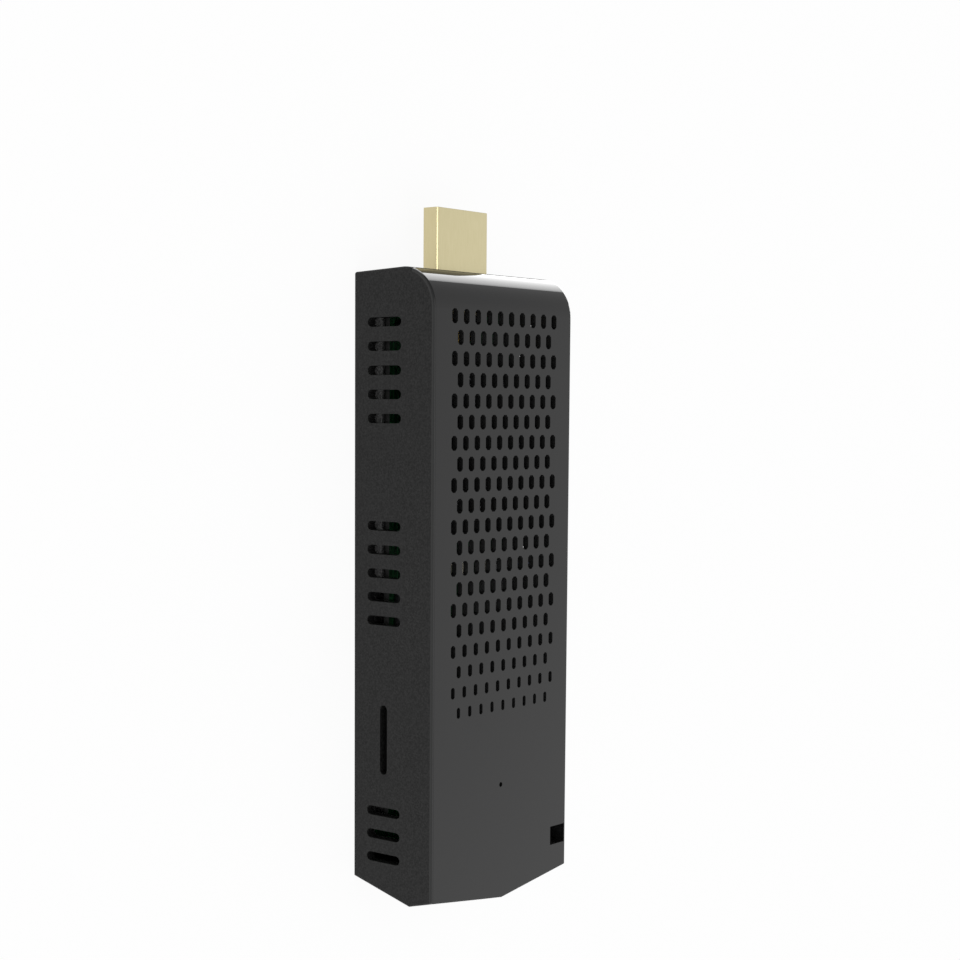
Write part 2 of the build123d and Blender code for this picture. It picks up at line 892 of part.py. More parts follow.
with BuildPart() as fan_blade:
    blade_root = fan_hub_radius - rotor_wall / 2
    with BuildSketch(Plane(origin=(blade_root, 0, (rotor_top + rotor_floor) / 2), x_dir=(0, 1, 0), z_dir=(1, 0, 0))):
        Rectangle(blade_thickness, blade_height / math.cos(math.radians(blade_angle)), rotation=blade_angle)
    extrude(amount=fan_duct_radius - blade_root)

with BuildPart() as fan_rotor:
    post(fan_x, 0, rotor_floor, fan_hub_radius, rotor_top - rotor_floor)
    cup_depth = rotor_top - rotor_wall - rotor_floor
    post(fan_x, 0, rotor_floor, fan_hub_radius - rotor_wall, cup_depth, Mode.SUBTRACT)
    with Locations((fan_x, 0)):
        with PolarLocations(0, blade_count):
            add(fan_blade.part)
    post(fan_x, 0, fan_level, rotor_reach, fan_depth, Mode.INTERSECT)
    post(fan_x, 0, rotor_floor, fan_hub_radius - rotor_wall, cup_depth, Mode.SUBTRACT)
    post(fan_x, 0, rotor_top - rotor_wall, shaft_radius, rotor_wall, Mode.SUBTRACT)
fan_rotor.part.label = "fan_rotor"
export_step(fan_rotor.part, "parts/fan_rotor.step")

with BuildPart() as fan_magnet:
    magnet_radius = fan_hub_radius - rotor_wall
    magnet_floor = rotor_floor + (cup_depth - magnet_height) / 2
    post(fan_x, 0, magnet_floor, magnet_radius, magnet_height)
    post(fan_x, 0, magnet_floor, magnet_radius - magnet_wall, magnet_height, Mode.SUBTRACT)
fan_magnet.part.label = "fan_magnet"
export_step(fan_magnet.part, "parts/fan_magnet.step")

with BuildPart() as fan_shaft:
    post(fan_x, 0, rotor_floor, shaft_radius, rotor_top - rotor_floor)
fan_shaft.part.label = "fan_shaft"
export_step(fan_shaft.part, "parts/fan_shaft.step")

# Fan lead: out of the frame's side, down, and into the board's connector
with BuildPart() as fan_connector:
    connector_x = x_top - connector_from_top
    block(connector_x, lead_offset, board_top, connector_length, connector_width, connector_height)
fan_connector.part.label = "fan_connector"
export_step(fan_connector.part, "parts/fan_connector.step")

with BuildPart() as fan_lead:
    frame_side = fan_x - fan_size / 2
    entry = connector_x + connector_length / 2
    entry_level = board_top + connector_height / 2
    turn_x = (frame_side + entry) / 2 - lead_radius
    route = [
        (frame_side, lead_offset, lead_level),
        (turn_x, lead_offset, lead_level),
        (turn_x, lead_offset, entry_level),
        (entry, lead_offset, entry_level),
    ]
    runs = [math.dist(a, b) for a, b in zip(route, route[1:])]
    bends = [lead_arc_share * min(a, b) for a, b in zip(runs, runs[1:])]
    print("fan lead radii", [round(bend, 2) for bend in bends])
    with BuildLine() as lead_path:
        FilletPolyline(*route, radius=bends)
    with BuildSketch(Plane(origin=route[0], z_dir=(-1, 0, 0))):
        RegularPolygon(lead_radius, tube_sides)
    sweep(path=lead_path.wire())
fan_lead.part.label = "fan_lead"
export_step(fan_lead.part, "parts/fan_lead.step")

# Aerial: a strip stuck to the back in the pointed end, with its lead from the radio
with BuildPart() as antenna_board:
    aerial_x = x_tip + aerial_from_tip
    block(aerial_x, aerial_offset, back_wall, aerial_length, aerial_width, aerial_thickness)
antenna_board.part.label = "antenna_board"
export_step(antenna_board.part, "parts/antenna_board.step")

with BuildPart() as antenna_lead:
    lead_start = x_top - radio_from_top - radio_length / 2
    lead_line = back_wall + aerial_thickness + aerial_lead_radius
    lead_end = aerial_x
    lead_span = lead_start - lead_end
    radio_line = board_rise - radio_height / 2
    route = [
        (lead_start, radio_offset, radio_line),
        (lead_start - lead_span / 3, radio_offset, radio_line),
        (lead_start - lead_span * 2 / 3, radio_offset + aerial_lead_sway, lead_line),
        (lead_end, radio_offset + aerial_lead_sway, lead_line),
    ]
    runs = [math.dist(a, b) for a, b in zip(route, route[1:])]
    half_turn = math.atan2(math.hypot(aerial_lead_sway, radio_line - lead_line), lead_span / 3) / 2
    bends = [lead_arc_share * min(a, b) / math.tan(half_turn) for a, b in zip(runs, runs[1:])]
    print("antenna lead radii", [round(bend, 2) for bend in bends])
    with BuildLine() as lead_path:
        FilletPolyline(*route, radius=bends)
    with BuildSketch(Plane(origin=route[0], z_dir=(-1, 0, 0))):
        RegularPolygon(aerial_lead_radius, tube_sides)
    sweep(path=lead_path.wire())
antenna_lead.part.label = "antenna_lead"
export_step(antenna_lead.part, "parts/antenna_lead.step")


def usb_shell(from_top):
    """A drawn socket shell, open at its mouth and closed at the rear."""
    with BuildPart() as shell:
        x = x_top - from_top
        y = port_face + usb_depth / 2
        block(x, y, board_top, usb_width, usb_depth, usb_height)
        block(
            x,
            y - usb_wall,
            board_top + usb_wall,
            usb_width - 2 * usb_wall,
            usb_depth,
            usb_height - 2 * usb_wall,
            Mode.SUBTRACT,
        )
    return shell.part


def usb_tongue(from_top):
    """The moulded block that fills the rear of the shell, with the tongue standing out of it."""
    with BuildPart() as tongue:
        x = x_top - from_top
        rear = port_face + usb_depth - usb_wall
        inside = usb_height - 2 * usb_wall
        block(
            x,
            rear - usb_block_depth / 2,
            board_top + usb_wall,
            usb_width - 2 * usb_wall,
            usb_block_depth,
            inside,
        )
        reach = usb_depth - usb_wall - usb_block_depth - usb_tongue_recess
        block(
            x,
            rear - usb_block_depth - reach / 2,
            usb_tongue_level,
            usb_tongue_width,
            reach,
            usb_tongue_thickness,
        )
    return tongue.part


usb_tongue_level = board_top + usb_height - usb_wall - usb_tongue_gap - usb_tongue_thickness
usb_tongue_front = port_face + usb_tongue_recess
usb_contact_length = usb_depth - usb_wall - usb_block_depth - 2 * usb_tongue_recess - usb3_extra_length

# Two full size sockets, the faster one with a second row of contacts at its tongue's tip
with BuildPart() as usb3_shell:
    add(usb_shell(usb3_from_top))
usb3_shell.part.label = "usb3_shell"
export_step(usb3_shell.part, "parts/usb3_shell.step")

with BuildPart() as usb2_shell:
    add(usb_shell(usb2_from_top))
usb2_shell.part.label = "usb2_shell"
export_step(usb2_shell.part, "parts/usb2_shell.step")

with BuildPart() as usb3_tongue:
    add(usb_tongue(usb3_from_top))
usb3_tongue.part.label = "usb3_tongue"
export_step(usb3_tongue.part, "parts/usb3_tongue.step")

with BuildPart() as usb2_tongue:
    add(usb_tongue(usb2_from_top))
usb2_tongue.part.label = "usb2_tongue"
export_step(usb2_tongue.part, "parts/usb2_tongue.step")

with BuildPart() as usb3_contacts:
    level = usb_tongue_level - usb_contact_thickness
    for step in range(usb_contact_count):
        x = x_top - usb3_from_top + (step - (usb_contact_count - 1) / 2) * usb_contact_pitch
        y = usb_tongue_front + usb_tongue_recess + usb3_extra_length + usb_contact_length / 2
        block(x, y, level, usb_contact_width, usb_contact_length, usb_contact_thickness)
    for step in range(usb3_extra_count):
        x = x_top - usb3_from_top + (step - (usb3_extra_count - 1) / 2) * usb3_extra_pitch
        y = usb_tongue_front + usb3_extra_length / 2
        block(x, y, level, usb_contact_width, usb3_extra_length, usb_contact_thickness)
usb3_contacts.part.label = "usb3_contacts"
export_step(usb3_contacts.part, "parts/usb3_contacts.step")

with BuildPart() as usb2_contacts:
    for step in range(usb_contact_count):
        x = x_top - usb2_from_top + (step - (usb_contact_count - 1) / 2) * usb_contact_pitch
        y = usb_tongue_front + usb_tongue_recess + usb3_extra_length + usb_contact_length / 2
        block(x, y, level, usb_contact_width, usb_contact_length, usb_contact_thickness)
usb2_contacts.part.label = "usb2_contacts"
export_step(usb2_contacts.part, "parts/usb2_contacts.step")

# Power port: a small shell with its two lower corners bevelled, and a thin tongue
power_x = x_top - power_port_from_top


def power_outline(grow):
    """The port's section as seen from outside, standing on the board."""
    half = power_port_width / 2 + grow
    foot = half - power_port_bevel
    floor = board_top - grow
    roof = board_top + power_port_height + grow
    shoulder = floor + power_port_bevel
    points = [(-foot, floor), (foot, floor), (half, shoulder), (half, roof), (-half, roof), (-half, shoulder)]
    Polygon(*points)


with BuildPart() as power_port_shell:
    with BuildSketch(Plane(origin=(power_x, port_face, 0), x_dir=(1, 0, 0), z_dir=(0, -1, 0))):
        power_outline(0)
    extrude(amount=-power_port_depth)
    with BuildSketch(Plane(origin=(power_x, port_face, 0), x_dir=(1, 0, 0), z_dir=(0, -1, 0))):
        power_outline(-power_port_wall)
    extrude(amount=power_port_wall - power_port_depth, mode=Mode.SUBTRACT)
power_port_shell.part.label = "power_port_shell"
export_step(power_port_shell.part, "parts/power_port_shell.step")

with BuildPart() as power_port_tongue:
    block_start = port_face + power_port_depth - power_port_wall - power_block_depth
    with BuildSketch(Plane(origin=(power_x, block_start, 0), x_dir=(1, 0, 0), z_dir=(0, -1, 0))):
        power_outline(-power_port_wall)
    extrude(amount=-power_block_depth)
    tongue_reach = power_port_depth - power_port_wall - power_block_depth - power_tongue_thickness
    block(
        power_x,
        block_start - tongue_reach / 2,
        board_top + power_port_height / 2,
        power_tongue_width,
        tongue_reach,
        power_tongue_thickness,
    )
power_port_tongue.part.label = "power_port_tongue"
export_step(power_port_tongue.part, "parts/power_port_tongue.step")

# Card socket behind the card slot: a base with its contacts under a folded metal cover
socket_x = x_top - card_slot_from_top
socket_mouth = inner_half - socket_gap
socket_y = socket_mouth - socket_depth / 2

with BuildPart() as card_socket_base:
    block(socket_x, socket_y, board_top, socket_width - 2 * socket_wall, socket_depth, socket_base_thickness)
    rail = (socket_width - socket_card_width) / 2 - socket_wall
    for side in (-1, 1):
        x = socket_x + side * (socket_width / 2 - socket_wall - rail / 2)
        block(x, socket_y, board_top, rail, socket_depth, socket_height - socket_wall)
    rear = socket_mouth - socket_depth + rail / 2
    block(socket_x, rear, board_top, socket_width - 2 * socket_wall, rail, socket_height - socket_wall)
card_socket_base.part.label = "card_socket_base"
export_step(card_socket_base.part, "parts/card_socket_base.step")

with BuildPart() as card_socket_shell:
    block(socket_x, socket_y, board_top, socket_width, socket_depth, socket_height)
    block(
        socket_x,
        socket_y,
        board_top,
        socket_width - 2 * socket_wall,
        socket_depth,
        socket_height - socket_wall,
        Mode.SUBTRACT,
    )
card_socket_shell.part.label = "card_socket_shell"
export_step(card_socket_shell.part, "parts/card_socket_shell.step")

with BuildPart() as card_contacts:
    for step in range(socket_contact_count):
        x = socket_x + (step - (socket_contact_count - 1) / 2) * socket_contact_pitch
        y = socket_mouth - socket_depth + rail + socket_contact_length / 2
        block(
            x,
            y,
            board_top + socket_base_thickness,
            socket_contact_width,
            socket_contact_length,
            socket_contact_thickness,
        )
card_contacts.part.label = "card_contacts"
export_step(card_contacts.part, "parts/card_contacts.step")

# Power button, with its switch behind it
button_x = x_top - button_from_top
flange_face = -inner_half + button_flange_gap
switch_face = flange_face + button_flange_thickness + plunger_reach

with BuildPart() as power_button:
    with BuildSketch(Plane(origin=(button_x, -half_width, button_level), x_dir=(1, 0, 0), z_dir=(0, -1, 0))):
        long_hole(button_height, button_length, vent_end_sides)
    extrude(amount=-(flange_face + half_width))
    chamfer(power_button.faces().sort_by(Axis.Y)[0].edges(), button_edge)
    block(
        button_x,
        flange_face + button_flange_thickness / 2,
        button_level - button_height / 2,
        button_length + 2 * button_flange,
        button_flange_thickness,
        button_height,
    )
power_button.part.label = "power_button"
export_step(power_button.part, "parts/power_button.step")

with BuildPart() as switch_plunger:
    plunger_span = plunger_reach + plunger_entry
    block(
        button_x,
        flange_face + button_flange_thickness + plunger_span / 2,
        button_level - plunger_height / 2,
        plunger_length,
        plunger_span,
        plunger_height,
    )
switch_plunger.part.label = "switch_plunger"
export_step(switch_plunger.part, "parts/switch_plunger.step")

with BuildPart() as button_switch:
    block(button_x, switch_face + switch_depth / 2, board_top, switch_length, switch_depth, switch_height)
    room = plunger_entry + button_travel + button_clearance
    block(
        button_x,
        switch_face + room / 2,
        button_level - plunger_height / 2 - button_clearance,
        plunger_length + 2 * button_clearance,
        room,
        plunger_height + 2 * button_clearance,
        Mode.SUBTRACT,
    )
button_switch.part.label = "button_switch"
export_step(button_switch.part, "parts/button_switch.step")

# Status lamp under the pinhole, with a clear pipe up to the cover
with BuildPart() as status_led:
    block(pinhole_x, pinhole_offset, board_top, led_length, led_width, led_height)
status_led.part.label = "status_led"
export_step(status_led.part, "parts/status_led.step")

with BuildPart() as light_pipe:
    post(pinhole_x, pinhole_offset, board_top + led_height, pipe_radius, cover_inside - board_top - led_height)
light_pipe.part.label = "light_pipe"
export_step(light_pipe.part, "parts/light_pipe.step")
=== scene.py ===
# %% [markdown]
# # A stick computer, dressed for its portrait
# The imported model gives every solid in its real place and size. This lesson dresses those
# solids. It sets the camera, makes a finish for each real material, models the few pieces that
# need a finer mesh, and then lays the floor and sets the lights.

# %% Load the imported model
import math
import bmesh
import bpy
from mathutils import Matrix, Vector


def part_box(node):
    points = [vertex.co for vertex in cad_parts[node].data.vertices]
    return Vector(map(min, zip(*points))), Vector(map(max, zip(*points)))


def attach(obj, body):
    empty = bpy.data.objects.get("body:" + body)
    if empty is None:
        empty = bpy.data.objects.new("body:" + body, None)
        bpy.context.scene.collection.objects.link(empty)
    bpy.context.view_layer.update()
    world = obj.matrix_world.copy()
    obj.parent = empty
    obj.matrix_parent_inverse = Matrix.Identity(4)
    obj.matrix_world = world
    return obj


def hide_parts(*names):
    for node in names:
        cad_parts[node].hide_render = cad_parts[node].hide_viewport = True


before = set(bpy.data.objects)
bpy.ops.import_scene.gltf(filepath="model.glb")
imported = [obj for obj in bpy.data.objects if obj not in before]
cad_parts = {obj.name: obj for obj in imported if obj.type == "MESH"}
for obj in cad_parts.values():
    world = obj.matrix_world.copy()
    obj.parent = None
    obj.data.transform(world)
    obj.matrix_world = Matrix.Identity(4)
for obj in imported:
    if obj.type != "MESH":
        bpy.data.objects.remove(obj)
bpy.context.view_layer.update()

scene = bpy.context.scene
MM = 0.001

# %% [markdown]
# ## The camera
# The picture stands the stick on its end, while the model lies on its back. So the camera is
# rolled: its upward direction runs along the stick. A long lens from about a third of a metre
# keeps the edges nearly parallel. The lens is shifted a little, because the picture's edge was
# trimmed unevenly below the stick.

# %% Place the camera
FRAME_PIXELS = 960
SENSOR_MM = 36.0
FOCAL_PIXELS = 1856.5
MIDDLE_ROW = 585.0
eye = Vector((26.38, 253.44, 217.27)) * MM
right = Vector((0.00742, -0.62873, 0.77759)).normalized()
forward = Vector((-0.09408, -0.77460, -0.62541)).normalized()
upward = right.cross(forward).normalized()
right = forward.cross(upward)

camera = bpy.data.objects.new("camera", bpy.data.cameras.new("camera"))
scene.collection.objects.link(camera)
camera.matrix_world = Matrix((
    (right.x, upward.x, -forward.x, eye.x),
    (right.y, upward.y, -forward.y, eye.y),
    (right.z, upward.z, -forward.z, eye.z),
    (0, 0, 0, 1),
))
camera.data.sensor_width = SENSOR_MM
camera.data.lens = FOCAL_PIXELS / FRAME_PIXELS * SENSOR_MM
camera.data.shift_y = (MIDDLE_ROW - FRAME_PIXELS / 2) / FRAME_PIXELS
camera.data.clip_start = 1 * MM
scene.camera = camera
print("lens", round(camera.data.lens, 2), "shift", round(camera.data.shift_y, 4))


# %% [markdown]
# ## Helpers for finishes
# A finish is a small network of nodes. Colours are written as a painter would, as hex values,
# and turned to linear light once. Each pattern's scale is a real size: a noise whose scale is
# one over the size in metres repeats about once in that size. One function adds a node, and a
# pattern is fed into the next node by naming it there.

# %% Colours and nodes
def linear(hex_colour):
    """A hex colour such as 1A1A1C as linear red, green, blue and alpha."""
    values = []
    for start in (0, 2, 4):
        part = int(hex_colour[start:start + 2], 16) / 255
        values.append(part / 12.92 if part <= 0.04045 else ((part + 0.055) / 1.055) ** 2.4)
    return (*values, 1.0)


def per_mm(size):
    """The scale of a pattern that repeats once in this many millimetres."""
    return 1 / (size * MM)


def feed(tree, made, inputs):
    """Set a node's inputs, or link those that are given a node or one of its outputs."""
    for name, value in inputs.items():
        if isinstance(value, bpy.types.Node):
            value = next(output for output in value.outputs if output.enabled)
        if isinstance(value, bpy.types.NodeSocket):
            tree.links.new(value, made.inputs[name])
        else:
            made.inputs[name].default_value = value


def node(tree, kind, settings=None, inputs=None, stops=()):
    """Add a node with its settings, its inputs and, for a ramp, its stops of hex colours."""
    made = tree.nodes.new(kind)
    for name, value in (settings or {}).items():
        setattr(made, name, value)
    for number, (position, colour) in enumerate(stops):
        made.color_ramp.elements[number].position = position
        made.color_ramp.elements[number].color = linear(colour)
    feed(tree, made, inputs or {})
    return made


def finish(name, roughness, metallic=0.0, ior=1.5, level=0.5):
    """A new material with one surface shader, and the coordinates its patterns read."""
    material = bpy.data.materials.new(name)
    material.use_nodes = True
    tree = material.node_tree
    tree.nodes.clear()
    shader = node(tree, "ShaderNodeBsdfPrincipled", inputs={
        "Roughness": roughness, "Metallic": metallic, "IOR": ior, "Specular IOR Level": level})
    node(tree, "ShaderNodeOutputMaterial", inputs={"Surface": shader})
    place = node(tree, "ShaderNodeTexCoord").outputs["Object"]
    return material, tree, shader, place


print("black plastic is", [round(v, 4) for v in linear("1A1A1C")[:3]])


# %% [markdown]
# ## Black moulded plastic
# The housing is ABS moulded in a tool whose walls were spark eroded, which leaves a fine, even
# grain of about a third of a millimetre that breaks up its reflections. The cover comes from a
# polished tool: it is smooth enough to mirror the edge of a bright floor sharply. The button's
# texture is finer than the housing's, so that it has a soft sheen.

# %% Mould the plastic
CLOUDS_MM = 14.0


def moulded_plastic(name, dark, light, grain_mm, depth_mm, roughness, level):
    """A fine grain of two tones, with faint clouds in its colour and its sheen."""
    material, tree, shader, place = finish(name, roughness, level=level)
    grain = node(tree, "ShaderNodeTexNoise", inputs={
        "Vector": place, "Scale": per_mm(grain_mm), "Detail": 3.0, "Roughness": 0.6})
    clouds = node(tree, "ShaderNodeTexNoise", inputs={"Vector": place, "Scale": per_mm(CLOUDS_MM)})
    speck = node(tree, "ShaderNodeValToRGB", inputs={"Fac": grain},
                 stops=((0.35, dark), (0.7, light)))
    shade = node(tree, "ShaderNodeValToRGB", inputs={"Fac": clouds},
                 stops=((0.3, "D8D8D8"), (0.7, "FFFFFF")))
    tint = node(tree, "ShaderNodeMix", {"data_type": "RGBA", "blend_type": "MULTIPLY"}, {
        "Factor": 0.35, "A": speck, "B": shade})
    sheen = node(tree, "ShaderNodeMapRange", inputs={
        "Value": clouds, "From Min": 0.3, "From Max": 0.7,
        "To Min": roughness * 0.9, "To Max": roughness * 1.1})
    raised = node(tree, "ShaderNodeBump", inputs={"Height": grain, "Distance": depth_mm * MM})
    feed(tree, shader, {"Base Color": tint, "Roughness": sheen, "Normal": raised})
    return material


# Spark eroded: an even, matt grain with no clear reflection.
housing_plastic = moulded_plastic(
    "abs_black_spark_textured", "0C0C0C", "292929",
    grain_mm=0.3, depth_mm=0.012, roughness=0.46, level=0.215)
# Polished: deep black with sharp reflections, and no relief.
cover_plastic = moulded_plastic(
    "abs_black_polished", "0A0A0A", "0E0E0F",
    grain_mm=0.3, depth_mm=0.0, roughness=0.035, level=0.5)
# Finely textured: a soft sheen on a small key.
button_plastic = moulded_plastic(
    "abs_black_button", "141415", "1E1E20",
    grain_mm=0.15, depth_mm=0.004, roughness=0.4, level=0.45)
print("plastics", housing_plastic.name, cover_plastic.name, button_plastic.name)

# %% [markdown]
# ## Painted light inside, and where the tool isn't polished or textured
# The housing's inner faces get a paler, speckled colour: painted light, for the light that reaches
# in through its vents. The walls of the cover's holes are matt, and a little paler as painted light
# in the holes, and its polish fades out round the long edges. These are areas of one moulding, so
# masks find them. One mask is a box that the point must lie in, and another is the way that the
# surface faces.

# %% Masks, the painted light and the plain areas
SPECKLE_MM = 0.35
UPWARDS = 0.15               # a face that looks upwards by less than this is a wall


def enclosed(tree, place, half_width, tail, head, floor):
    """1 in the box with this half width, ends and floor in millimetres, and 0 outside it."""
    axes = node(tree, "ShaderNodeSeparateXYZ", inputs={"Vector": place}).outputs
    across = node(tree, "ShaderNodeMath", {"operation": "ABSOLUTE"}, {0: axes["Y"]})
    share = 1.0
    for value, operation, limit in (
            (across, "LESS_THAN", half_width), (axes["X"], "GREATER_THAN", tail),
            (axes["X"], "LESS_THAN", head), (axes["Z"], "GREATER_THAN", floor)):
        test = node(tree, "ShaderNodeMath", {"operation": operation}, {0: value, 1: limit * MM})
        share = node(tree, "ShaderNodeMath", {"operation": "MULTIPLY"}, {0: share, 1: test})
    return share


def facing(tree):
    """The direction that the surface looks in, along X, Y and Z."""
    normal = node(tree, "ShaderNodeTexCoord").outputs["Normal"]
    return node(tree, "ShaderNodeSeparateXYZ", inputs={"Vector": normal}).outputs


def not_upwards(tree):
    """1 on faces that don't look upwards: walls of holes, sides and undersides."""
    return node(tree, "ShaderNodeMath", {"operation": "LESS_THAN"}, {
        0: facing(tree)["Z"], 1: UPWARDS})


def shader_of(material):
    """The surface shader of a finished material."""
    return next(n for n in material.node_tree.nodes if n.type == "BSDF_PRINCIPLED")


def paint_light_inside(material, dark, light, box, walls_only=False):
    """Paint light as a paler, speckled colour in a box, or only on the walls of holes there."""
    tree, shader = material.node_tree, shader_of(material)
    place = node(tree, "ShaderNodeTexCoord").outputs["Object"]
    share = enclosed(tree, place, *box)
    if walls_only:
        share = node(tree, "ShaderNodeMath", {"operation": "MULTIPLY"}, {
            0: share, 1: not_upwards(tree)})
    speckle = node(tree, "ShaderNodeTexNoise", inputs={
        "Vector": place, "Scale": per_mm(SPECKLE_MM), "Detail": 4.0, "Roughness": 0.7})
    pale = node(tree, "ShaderNodeValToRGB", inputs={"Fac": speckle},
                stops=((0.35, dark), (0.65, light)))
    mixed = node(tree, "ShaderNodeMix", {"data_type": "RGBA"}, {
        "Factor": share, "A": shader.inputs["Base Color"].links[0].from_socket, "B": pale})
    feed(tree, shader, {"Base Color": mixed})


def rough_edges(material, roughness):
    """Leave all but the upward faces rough, and fade the polish out round the long edges."""
    tree, shader = material.node_tree, shader_of(material)
    sideways = node(tree, "ShaderNodeMath", {"operation": "ABSOLUTE"}, {0: facing(tree)["Y"]})
    fade = node(tree, "ShaderNodeMapRange", inputs={
        "Value": sideways, "From Min": 0.3, "From Max": 0.9})
    share = node(tree, "ShaderNodeMath", {"operation": "MAXIMUM"}, {0: not_upwards(tree), 1: fade})
    mixed = node(tree, "ShaderNodeMix", inputs={
        "Factor": share, "A": shader.inputs["Roughness"].links[0].from_socket, "B": roughness})
    feed(tree, shader, {"Roughness": mixed})


# Half width, tail, head and floor of each box, in millimetres.
HOUSING_CAVITY = (17.2, -50.0, 48.1, 0.3)
COVER_WITHOUT_RIM = (18.5, -60.5, 49.5, 0.0)
# The paler colour inside the housing is painted light, for the light that reaches in through its
# vents.
paint_light_inside(housing_plastic, "2E2E2E", "6C6C6C", HOUSING_CAVITY)
rough_edges(cover_plastic, 0.45)
# The paler colour on the cover's walls and undersides, within its rim, is painted light in its
# holes.
paint_light_inside(cover_plastic, "141414", "181818", COVER_WITHOUT_RIM, walls_only=True)
print("nodes in", cover_plastic.name, len(cover_plastic.node_tree.nodes))

# %% [markdown]
# ## Rolled and drawn metals
# The plug's shell is drawn steel with a thin pale gold plating, rolled along its length. The
# socket shells, the can over the radio and the fan's shaft are bright steel. A metal's colour
# is its reflection, so the colour is light and only its fine hairlines vary. A noise that is
# stretched along the rolling gives them.

# %% Roll the metals
# Twelve lines fill each of these lengths, given along X, Y and Z.
LINES = 12.0
HAIRLINES_MM = (25.0, 2.5, 2.5)
TURNS_MM = (10 / 3, 10 / 3, 0.4)
PATCHES_MM = 3.0


def rolled_metal(name, dark, light, roughness, lines_mm=HAIRLINES_MM, depth_mm=0.0008):
    """A bright metal with fine lines, and with patches that are a little more or less worn."""
    material, tree, shader, place = finish(name, roughness, metallic=1.0)
    drawn_out = node(tree, "ShaderNodeMapping", inputs={
        "Vector": place, "Scale": [per_mm(size) for size in lines_mm]})
    lines = node(tree, "ShaderNodeTexNoise", inputs={
        "Vector": drawn_out, "Scale": LINES, "Detail": 3.0})
    colour = node(tree, "ShaderNodeValToRGB", inputs={"Fac": lines},
                  stops=((0.3, dark), (0.7, light)))
    patches = node(tree, "ShaderNodeTexNoise", inputs={
        "Vector": place, "Scale": per_mm(PATCHES_MM)})
    worn = node(tree, "ShaderNodeMapRange", inputs={
        "Value": patches, "From Min": 0.3, "From Max": 0.7,
        "To Min": roughness - 0.02, "To Max": roughness + 0.02})
    raised = node(tree, "ShaderNodeBump", inputs={"Height": lines, "Distance": depth_mm * MM})
    feed(tree, shader, {"Base Color": colour, "Roughness": worn, "Normal": raised})
    return material


# Gold over steel: pale yellow and satin, with hardly a scratch.
plug_gold = rolled_metal("steel_gold_plated", "CEC298", "D2C69D", 0.3, depth_mm=0.00005)
# A flash of gold over bronze: deeper yellow and brighter.
contact_gold = rolled_metal("bronze_gold_flashed", "D9B45C", "EBCB78", 0.25)
# Nickel over steel: grey and bright, faintly streaked.
bright_steel = rolled_metal("steel_nickel_plated", "A4A5A8", "C2C3C6", 0.28)
# Enamelled wire: red brown, with a line for each turn.
winding_copper = rolled_metal("copper_enamelled_wire", "A5522C", "CF7A48", 0.3, TURNS_MM, 0.02)
print("metals", [m.name for m in (plug_gold, contact_gold, bright_steel, winding_copper)])

# %% [markdown]
# ## Castings, pressings and mouldings
# The heat sink is cast aluminium, the bearing is sintered bronze, and the chips are epoxy,
# moulded and then ground a little. The thermal pad is soft silicone full of white powder. All
# have one even grain, so one function serves them: the grain's hollows are darker than its
# tops. The screws are plated black zinc, because nothing inside glints through the cover.

# %% Grain the castings and mouldings
CAST = {"metallic": 1.0, "detail": 4.0}


def grained(name, dark, light, roughness, grain_mm, depth_mm, metallic=0.0, level=0.5, detail=3.0):
    """A surface of one even grain, with its tops lighter than its hollows."""
    material, tree, shader, place = finish(name, roughness, metallic=metallic, level=level)
    grain = node(tree, "ShaderNodeTexNoise", inputs={
        "Vector": place, "Scale": per_mm(grain_mm), "Detail": detail, "Roughness": 0.6})
    colour = node(tree, "ShaderNodeValToRGB", inputs={"Fac": grain},
                  stops=((0.3, dark), (0.7, light)))
    raised = node(tree, "ShaderNodeBump", inputs={"Height": grain, "Distance": depth_mm * MM})
    feed(tree, shader, {"Base Color": colour, "Normal": raised})
    return material


# Each has two colours, its roughness, and its grain's size and depth in millimetres.
# Black zinc: dark, with almost no glint.
screw_steel = grained("steel_black_zinc", "242427", "323236", 0.38, 0.3, 0.002, **CAST)
# Cast aluminium: pale and dull, with a sandy skin.
sink_alloy = grained("aluminium_cast", "A9ABAE", "C5C7CA", 0.42, 0.25, 0.006, **CAST)
# Sintered bronze: brown and porous.
bearing_bronze = grained("bronze_sintered", "8E6A3C", "B58C54", 0.5, 0.08, 0.004, **CAST)
# Moulded epoxy, lightly ground: dark grey and dull.
chip_epoxy = grained("epoxy_chip_moulded", "141416", "232326", 0.45, 0.15, 0.003)
# Fired ceramic: brown, with a faint sheen.
capacitor_ceramic = grained("ceramic_capacitor_fired", "8A6A48", "A98660", 0.4, 0.3, 0.002)
# Pressed iron powder: grey and sandy.
inductor_powder = grained("iron_powder_pressed", "3C3C3D", "58585A", 0.6, 0.12, 0.01)
# Filled silicone: blue grey, soft and dull.
pad_silicone = grained("silicone_pad_filled", "8A9098", "A3A9B0", 0.75, 0.2, 0.01, level=0.3)
# Bonded ferrite: nearly black and slightly sandy.
ferrite_magnet = grained("ferrite_bonded", "2A2A2C", "3B3B3E", 0.55, 0.15, 0.004)
# Vinyl: black with a soft sheen.
lead_vinyl = grained("vinyl_lead_black", "111112", "1B1B1C", 0.5, 0.2, 0.002)
# Moulded nylon: even and a little glossy, in black, in blue or in its own ivory.
insulator_black = grained("nylon_black_moulded", "101011", "1A1A1B", 0.45, 0.2, 0.003)
insulator_blue = grained("nylon_blue_moulded", "123A7C", "1B4C98", 0.42, 0.2, 0.003)
insulator_white = grained("nylon_natural_moulded", "CFC9B8", "E2DCCB", 0.45, 0.2, 0.003)
# Moulded polyester: black and matt.
fan_plastic = grained("pbt_black_moulded", "0A0A0A", "121213", 0.5, 0.3, 0.004, level=0.2)
# Cast resin: milky yellow and smooth.
lamp_resin = grained("resin_lamp_cast", "D8D2B0", "ECE8CC", 0.2, 0.4, 0.001)
print("grained finishes", sink_alloy.name, chip_epoxy.name, lamp_resin.name)
